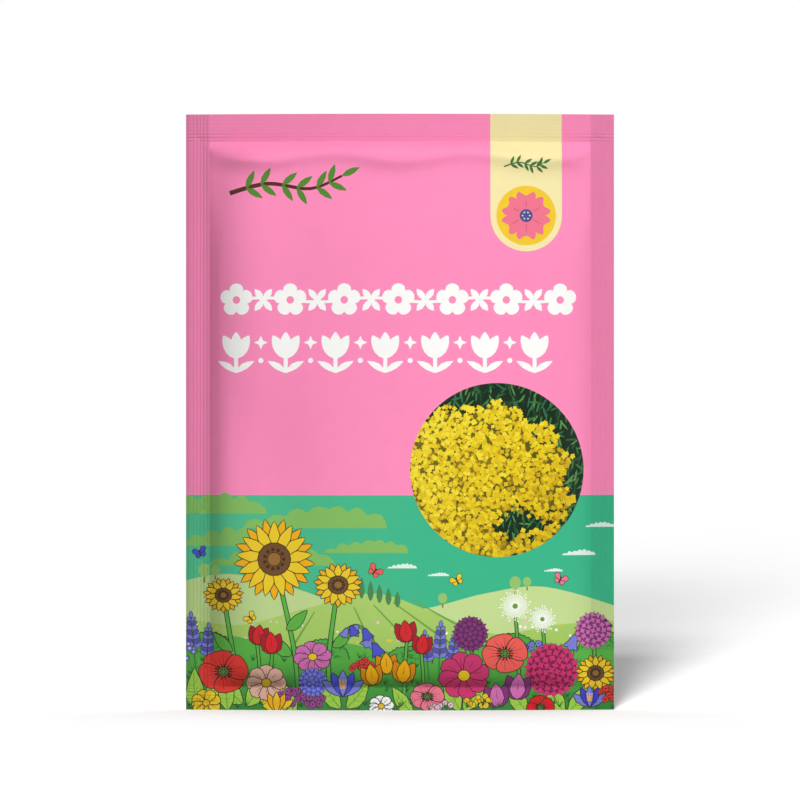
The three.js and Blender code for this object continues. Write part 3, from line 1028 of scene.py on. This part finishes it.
def cut(edge, outlines=(), lines=(), points=()):
    """Cuts the packet's rectangle, whose outline is edge, along outlines and lines. Returns the
    places of the corners, the triangles, and for each triangle the numbers of the outlines that
    hold it, from 1 up, and 0 for the rectangle itself."""
    places, faces, sides = [], [], []
    for outline in (edge, *outlines):
        faces.append(list(range(len(places), len(places) + len(outline))))
        places.extend(outline)
    for line in lines:
        sides.extend((i, i + 1) for i in range(len(places), len(places) + len(line) - 1))
        places.extend(line)
    places.extend(points)
    corners = [Vector(place) for place in places]
    made = delaunay_2d_cdt(corners, sides, faces, 0, CUT_TOLERANCE, True)
    flat = np.array([tuple(place) for place in made[0]])
    inside = [(triangle, holders) for triangle, holders in zip(made[2], made[5]) if 0 in holders]
    used, triangles = np.unique(np.array([triangle for triangle, _ in inside]), return_inverse=True)
    return flat[used], triangles.reshape(-1, 3), [holders for _, holders in inside]


def held_by(flat, triangles, places):
    """The number of the triangle that each place lies on."""
    corners = np.column_stack((flat, np.zeros(len(flat)))).tolist()
    tree = BVHTree.FromPolygons(corners, triangles.tolist(), all_triangles=True)
    found = []
    for x, z in places.tolist():
        number = tree.ray_cast((x, z, 1), (0, 0, -1))[2]
        found.append(tree.find_nearest((x, z, 0))[2] if number is None else number)
    return np.array(found)


def printed_face(sheet):
    """The packet's rectangle cut into triangles of one ink each, and the top shape on each of them.
    Lines that other shapes hide are left out, which makes the mesh far smaller."""
    edge, points = grid(PANEL_STEP, RIB_STEP)
    flat, triangles, holders = cut(edge, [shape.outline for shape in sheet.shapes[1:]])
    tops = top_shapes(holders, sheet.shapes)
    numbers = {}
    inks = [numbers.setdefault(sheet.shapes[top].ink, len(numbers)) for top in tops]
    lines = visible_lines(flat, triangles, np.array(inks))
    fine, fine_triangles, _ = cut(edge, lines=lines, points=points)
    middles = fine[fine_triangles].mean(axis=1)
    return fine, fine_triangles, tops[held_by(flat, triangles, middles)]


def top_shapes(holders, shapes):
    """The number of the topmost shape on each triangle."""
    tops = []
    for numbers in holders:
        held = set(numbers)
        tops.append(max(n for n in held if shapes[n].window is None or shapes[n].window in held))
    return np.array(tops)


def edge_loop(triangles):
    """The corners along the cut edge, in order, anticlockwise as the triangles are."""
    both = {tuple(side) for side in sides_of(triangles).tolist()}
    following = {a: b for a, b in both if (b, a) not in both}
    loop = [next(iter(following))]
    while following[loop[-1]] != loop[0]:
        loop.append(following[loop[-1]])
    return np.array(loop)


def placed(name, data):
    """A new object in the scene."""
    made = bpy.data.objects.new(name, data)
    bpy.context.collection.objects.link(made)
    return made


def film_piece(name, film, sheet, material):
    """One film as a closed shell: the printed outer face, the plain inner face and the cut edge."""
    outer, outer_triangles, tops = printed_face(sheet)
    loop = edge_loop(outer_triangles)
    _, coarse = grid(INSIDE_STEP, RIB_PITCH / 2)
    inner, inner_triangles, _ = cut([tuple(place) for place in outer[loop]], points=coarse)
    inner_loop = edge_loop(inner_triangles)
    start = int(np.argmin(np.hypot(*(inner[inner_loop] - outer[loop[0]]).T)))
    inner_loop = np.roll(inner_loop, -start)
    if len(inner_loop) != len(loop):
        raise RuntimeError("the two faces of the film don't have the same edge")

    flat = np.concatenate([outer, inner])
    depth = np.concatenate([outer_face(film, *outer.T), inner_face(film, *inner.T)])
    places = np.stack((flat[:, 0], depth, flat[:, 1]), axis=1) * MM

    first = len(outer)
    nexts, inner_nexts = np.roll(loop, -1), np.roll(inner_loop, -1)
    rim = np.concatenate([
        np.stack((nexts, loop, inner_loop + first), axis=1),
        np.stack((nexts, inner_loop + first, inner_nexts + first), axis=1),
    ])
    faces = np.concatenate([outer_triangles, inner_triangles[:, ::-1] + first, rim])
    if film.facing > 0:
        faces = faces[:, ::-1]
    corners = faces.reshape(-1)
    spans = np.cumsum([3 * len(outer_triangles), 3 * len(inner_triangles)])

    mesh = bpy.data.meshes.new(name)
    mesh.vertices.add(len(places))
    mesh.vertices.foreach_set("co", places.reshape(-1))
    mesh.loops.add(len(corners))
    mesh.loops.foreach_set("vertex_index", corners)
    mesh.polygons.add(len(faces))
    mesh.polygons.foreach_set("loop_start", np.arange(0, len(corners), 3))
    mesh.update(calc_edges=True)
    mesh.polygons.foreach_set("use_smooth", np.ones(len(faces), dtype=bool))

    # the ink attribute holds the print, with painted shade on the seals of the outer face
    ink = np.ones((len(corners), 4))
    ink[spans[0]:, :3] = linear(MILKY)
    ink[: spans[0], :3] = printed(tops, sheet, flat, corners[: spans[0]])
    layer = mesh.color_attributes.new("ink", "FLOAT_COLOR", "CORNER")
    layer.data.foreach_set("color", ink.reshape(-1))
    on_map = bake_places(flat, corners, spans)
    mesh.uv_layers.new(name="OFBake").data.foreach_set("uv", on_map.reshape(-1))

    normals = np.concatenate([
        outward_normals(outer_face, film, *outer.T), -outward_normals(inner_face, film, *inner.T),
    ])[corners]
    a, b, c = (places[faces[:, k]] for k in range(3))
    rim_normals = np.cross(b - a, c - a)[spans[1] // 3:]
    rim_normals /= np.maximum(np.linalg.norm(rim_normals, axis=1, keepdims=True), 1e-12)
    normals[spans[1]:] = np.repeat(rim_normals, 3, axis=0)
    mesh.normals_split_custom_set(normals.tolist())

    mesh.materials.append(material)
    return placed(name, mesh)


def printed(tops, sheet, flat, corners):
    """The linear colour at each corner of the outer triangles: the print, darkened on the seals by
    painted shade.
    """
    x, z = flat[corners].T
    made = np.empty((len(corners), 3))
    # painted shade: the seals are coloured darker, mostly in place of the shade the light gives
    # them
    in_side = 1 - smoothstep(*PAINTED_SHADE_EDGE, POUCH_HALF_WIDTH - np.abs(x))
    in_end = 1 - smoothstep(*PAINTED_SHADE_EDGE, np.minimum(z - BOTTOM_SEAL, POUCH_TOP - z))
    shade = 1 - np.maximum(SIDES_PAINTED_SHADE * in_side, ENDS_PAINTED_SHADE * in_end)
    order = np.argsort(tops, kind="stable")
    numbers, starts = np.unique(tops[order], return_index=True)
    for number, group in zip(numbers, np.split(order, starts[1:])):
        where = (group[:, None] * 3 + np.arange(3)).reshape(-1)
        made[where] = colours(sheet.shapes[number].ink, x[where], z[where]) * shade[where, None]
    return made


def bake_places(flat, corners, spans):
    """Where each corner lies on a baked map: the print, and beside it the plain faces."""
    x, z = flat[corners].T
    across, up = (x + HALF_WIDTH) / WIDTH, z / HEIGHT
    places = np.stack((0.01 + 0.86 * across, 0.01 + 0.98 * up), axis=1)
    places[spans[0]:, 0] = 0.89 + 0.06 * across[spans[0]:]
    places[spans[1]:, 0] = 0.97 + 0.01 * (np.arange(len(corners) - spans[1]) % 3)
    return places


# Materials


def shader(name, roughness, specular):
    """A material whose settings that are the same all over are set on the shader itself."""
    material = bpy.data.materials.new(name)
    material.use_nodes = True
    tree = material.node_tree
    principled = tree.nodes["Principled BSDF"]
    principled.inputs["Roughness"].default_value = roughness
    principled.inputs["Specular IOR Level"].default_value = specular
    return material, tree, principled


def fed(tree, node, inputs):
    """A node with its inputs set, each to a value or to another node's output."""
    for name, value in inputs.items():
        if isinstance(value, bpy.types.NodeSocket):
            tree.links.new(value, node.inputs[name])
        else:
            node.inputs[name].default_value = value
    return node


def noise(tree, scale, detail=3):
    """Noise in object space, scale in lumps to the metre."""
    place = tree.nodes.new("ShaderNodeTexCoord").outputs["Object"]
    node = tree.nodes.new("ShaderNodeTexNoise")
    return fed(tree, node, {"Vector": place, "Scale": scale, "Detail": detail}).outputs["Fac"]


def between(tree, value, low, high):
    """A noise value stretched over a range."""
    node = tree.nodes.new("ShaderNodeMapRange")
    ends = {"From Min": 0.3, "From Max": 0.7, "To Min": low, "To Max": high}
    return fed(tree, node, {"Value": value, **ends}).outputs["Result"]


def mixed(tree, factor, first, second):
    node = tree.nodes.new("ShaderNodeMix")
    node.data_type = "RGBA"
    return fed(tree, node, {"Factor": factor, "A": first, "B": second}).outputs["Result"]


def bumped(tree, principled, height, distance, strength):
    node = tree.nodes.new("ShaderNodeBump")
    fed(tree, node, {"Distance": distance, "Strength": strength, "Height": height})
    tree.links.new(node.outputs["Normal"], principled.inputs["Normal"])


def printed_laminate():
    """Satin film: the ink of each face, with painted shade on the seals, faintly uneven, under an
    orange-peel skin.
    """
    material, tree, principled = shader("printed laminate", 0.38, 0.3)
    ink = tree.nodes.new("ShaderNodeVertexColor")
    ink.layer_name = "ink"
    tone = tree.nodes.new("ShaderNodeHueSaturation")
    unevenness = between(tree, noise(tree, 260, 4), 0.985, 1.01)
    fed(tree, tone, {"Color": ink.outputs["Color"], "Value": unevenness})
    roughness = between(tree, noise(tree, 700, 2), 0.34, 0.44)
    fed(tree, principled, {"Base Color": tone.outputs["Color"], "Roughness": roughness})
    bumped(tree, principled, noise(tree, 1500, 2), 0.00002, 0.5)
    return material


def seed_coat():
    material, tree, principled = shader("dry seed coat", 0.7, 0.3)
    dark, light = ((*linear(ink), 1) for ink in ((96, 58, 34), (150, 102, 62)))
    colour = mixed(tree, between(tree, noise(tree, 1800, 4), 0, 1), dark, light)
    tree.links.new(colour, principled.inputs["Base Color"])
    bumped(tree, principled, noise(tree, 5000, 3), 0.0001, 0.6)
    return material


def pale_floor():
    """Near white to the camera, and greyer as a source of bounced light, so that it doesn't light
    the packet from below more than a studio table would."""
    material, tree, principled = shader("pale floor", 0.9, 0.1)
    seen = tree.nodes.new("ShaderNodeLightPath").outputs["Is Camera Ray"]
    white = between(tree, noise(tree, 30), 0.93, 0.95)
    colour = mixed(tree, seen, (*FLOOR_BOUNCE, 1), white)
    tree.links.new(colour, principled.inputs["Base Color"])
    return material


# Camera, floor and light

CAMERA_DISTANCE = 3.2
VIEW_WIDTH = 187.84 * MM  # across the whole picture, at the packet
VIEW_HEIGHT_Z = 72.83 * MM
SENSOR = 36
FLOOR_REACH = 30
FLOOR_BOUNCE = (0.14, 0.14, 0.14)
WORLD_LIGHT = 0.07
FLOOR_SUNS = ((11.5, 0.19), (8.2, 0.235), (3.9, 0.11), (2.7, 0.17))  # elevation, share of the light


def add_camera():
    data = bpy.data.cameras.new("camera")
    data.sensor_width = SENSOR
    data.lens = SENSOR * CAMERA_DISTANCE / VIEW_WIDTH
    data.clip_end = 100
    camera = placed("camera", data)
    camera.location = (0, -CAMERA_DISTANCE, VIEW_HEIGHT_Z)
    camera.rotation_euler = (math.pi / 2, 0, 0)
    bpy.context.scene.camera = camera


def add_floor():
    mesh = bpy.data.meshes.new("floor")
    ways = ((-1, -1), (1, -1), (1, 1), (-1, 1))
    corners = [(FLOOR_REACH * x, FLOOR_REACH * y, 0) for x, y in ways]
    mesh.from_pydata(corners, [], [(0, 1, 2, 3)])
    mesh.materials.append(pale_floor())
    floor = placed("floor", mesh)
    floor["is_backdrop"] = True
    return floor


def add_sun(name, towards, strength, angle, lit, glossy=True):
    """A soft distant light on the lit objects alone. towards points to it from the packet."""
    data = bpy.data.lights.new(name, "SUN")
    data.energy = strength
    data.angle = math.radians(angle)
    light = placed(name, data)
    light.rotation_euler = Vector(towards).to_track_quat("Z", "Y").to_euler()
    light.light_linking.receiver_collection = lit
    light.visible_glossy = glossy


def group(name, objects):
    collection = bpy.data.collections.new(name)
    for member in objects:
        collection.objects.link(member)
    return collection


def add_light(floor, packet):
    on_packet = group("lit by the packet's lights", packet)
    add_sun("key", (0.27, -0.85, 0.46), 2.8, 20, on_packet, glossy=False)
    add_sun("left", (-0.8, -0.6, 0.2), 0.26, 40, on_packet)
    add_sun("right", (1, -0.27, 0.2), 0.26, 30, on_packet)
    add_sun("overhead", (0, 0.1, 1), 0.26, 20, on_packet)
    add_sun("rear", (-0.3, 1, 0.5), 2.9, 60, on_packet)
    on_floor = group("lit by the floor's lights", [floor])
    for elevation, share in FLOOR_SUNS:
        climb = math.sin(math.radians(elevation))
        strength = share * math.pi / climb
        add_sun("floor from the front", (-0.042, -1, climb), strength, 2.6, on_floor)
    add_sun("floor from behind", (0, 1, 1.43), 1.2, 54, on_floor)
    add_world()
    bpy.context.scene.view_settings.view_transform = "Standard"


def add_world():
    """White as it is seen, and far dimmer as a light."""
    world = bpy.data.worlds.new("studio")
    world.use_nodes = True
    bpy.context.scene.world = world
    tree = world.node_tree
    light, seen = tree.nodes["Background"], tree.nodes.new("ShaderNodeBackground")
    for background, strength in ((light, WORLD_LIGHT), (seen, 1)):
        fed(tree, background, {"Color": (1, 1, 1, 1), "Strength": strength})
    path, mix = tree.nodes.new("ShaderNodeLightPath"), tree.nodes.new("ShaderNodeMixShader")
    tree.links.new(path.outputs["Is Camera Ray"], mix.inputs["Fac"])
    tree.links.new(light.outputs["Background"], mix.inputs[1])
    tree.links.new(seen.outputs["Background"], mix.inputs[2])
    tree.links.new(mix.outputs["Shader"], tree.nodes["World Output"].inputs["Surface"])


laminate = printed_laminate()
printed_front = film_piece("printed_front", FRONT, front_print(), laminate)
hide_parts("front_film")
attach(printed_front, "root")

printed_back = film_piece("printed_back", BACK, back_print(), laminate)
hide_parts("back_film")
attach(printed_back, "root")

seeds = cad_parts["seeds"]
seeds.data.materials.clear()
seeds.data.materials.append(seed_coat())

add_camera()
add_light(add_floor(), (printed_front, printed_back, seeds))

[[list(corner) for corner in box] for box in (cad_box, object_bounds())]
